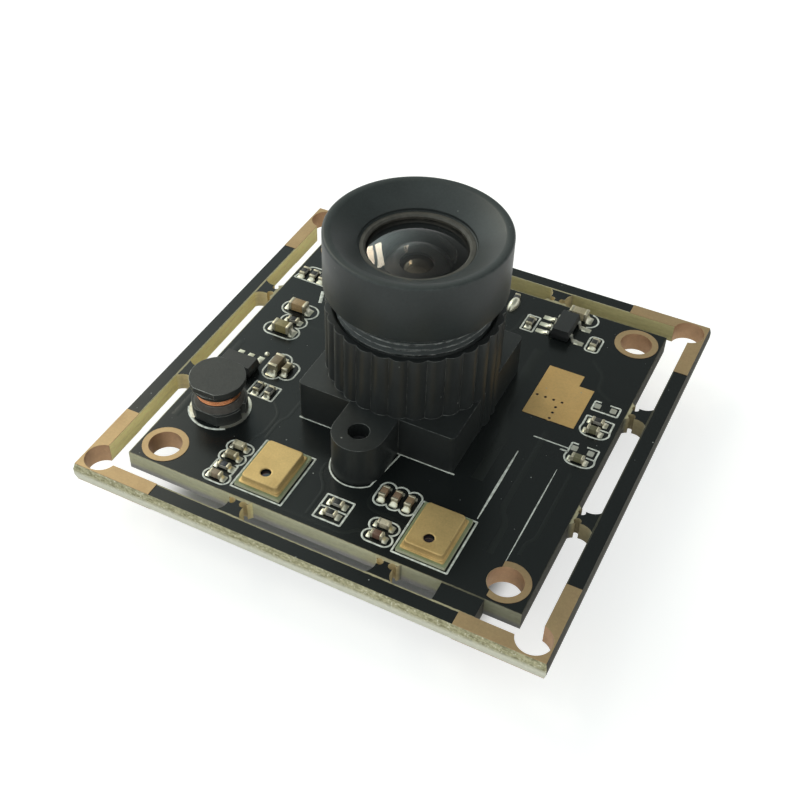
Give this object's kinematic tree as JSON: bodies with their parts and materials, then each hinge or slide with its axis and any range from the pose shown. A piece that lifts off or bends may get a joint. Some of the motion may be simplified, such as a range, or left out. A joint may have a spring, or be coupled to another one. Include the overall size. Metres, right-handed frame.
{
  "type": "camera module",
  "caption": "Board camera in a break-off frame: focusable screw-in lens in a fluted holder, image sensor, top-port microphones and small power parts on a square black board.",
  "frame": {"origin": "middle of the board's four mounting holes, on the board's top face", "axes": "+Z out of the lens along its axis, +X to the right and -Y towards the side with the microphones"},
  "size_m": [0.038, 0.038, 0.021],
  "materials": {
    "board": "satin black solder mask over glass fibre",
    "gold": "dull immersion gold",
    "tin": "satin tin",
    "holder_plastic": "moulded black plastic",
    "lens_metal": "black anodised, worn on the edges",
    "coated_glass": "amber anti-reflection coating",
    "clear_glass": "polished",
    "filter_glass": "polished, blue-green",
    "screw_steel": "black zinc",
    "ceramic": "matt ceramic",
    "silicon": "polished",
    "mic_laminate": "green laminate",
    "mic_gold": "satin gold",
    "ferrite": "sintered, dull",
    "copper": "enamelled wire",
    "chip_plastic": "moulded, matt",
    "capacitor_ceramic": "fired, tan to brown",
    "resistor_ceramic": "glazed black",
    "socket_plastic": "natural nylon",
    "can_steel": "drawn, satin"
  },
  "bodies": {
    "module": {"main_board": "board", "mount_hole_plating": "gold", "corner_plating": "gold", "gold_field": "gold", "bare_lands": "tin", "lens_holder": "holder_plastic", "holder_screws": "screw_steel", "infrared_filter": "filter_glass", "sensor_tray": "ceramic", "sensor_chip": "silicon", "sensor_cover": "clear_glass", "mic_left_base": "mic_laminate", "mic_left_can": "mic_gold", "mic_right_base": "mic_laminate", "mic_right_can": "mic_gold", "mic_chips": "silicon", "inductor_core": "ferrite", "inductor_winding": "copper", "inductor_terminals": "tin", "step_up_body": "chip_plastic", "step_up_leads": "tin", "regulator_body": "chip_plastic", "regulator_leads": "tin", "capacitor_bodies": "capacitor_ceramic", "capacitor_ends": "tin", "resistor_bodies": "resistor_ceramic", "resistor_ends": "tin", "bead_body": "ferrite", "bead_ends": "tin", "controller_body": "chip_plastic", "controller_leads": "tin", "memory_body": "chip_plastic", "memory_leads": "tin", "crystal_can": "can_steel", "crystal_foot": "chip_plastic", "crystal_leads": "tin", "cable_socket": "socket_plastic", "socket_contacts": "gold", "socket_tabs": "tin", "back_regulator_bodies": "chip_plastic", "back_regulator_leads": "tin", "back_capacitor_bodies": "capacitor_ceramic", "back_capacitor_ends": "tin", "back_resistor_bodies": "resistor_ceramic", "back_resistor_ends": "tin"},
    "optics": {"front_ring": "lens_metal", "front_glass": "coated_glass", "cell_ring": "lens_metal", "second_glass": "coated_glass", "aperture_stop": "lens_metal", "crown_glass": "clear_glass", "flint_glass": "clear_glass", "lens_spacer": "lens_metal", "rear_glass": "clear_glass", "rear_ring": "lens_metal"},
    "barrel": {"lens_barrel": "lens_metal"}
  },
  "joints": [
    {"name": "focus_travel", "type": "slide", "parent": "module", "child": "optics", "axis": [0, 0, 1], "range_m": [-0.001, 0.001]},
    {"name": "focus_turn", "type": "hinge", "parent": "optics", "child": "barrel", "pos_m": [0, 0, 0.0092], "axis": [0, 0, 1], "range_deg": [-720, 720]}
  ],
  "couplings": [
    {"joint": "focus_turn", "follows": "focus_travel", "rad_per_m": 12566}
  ]
}
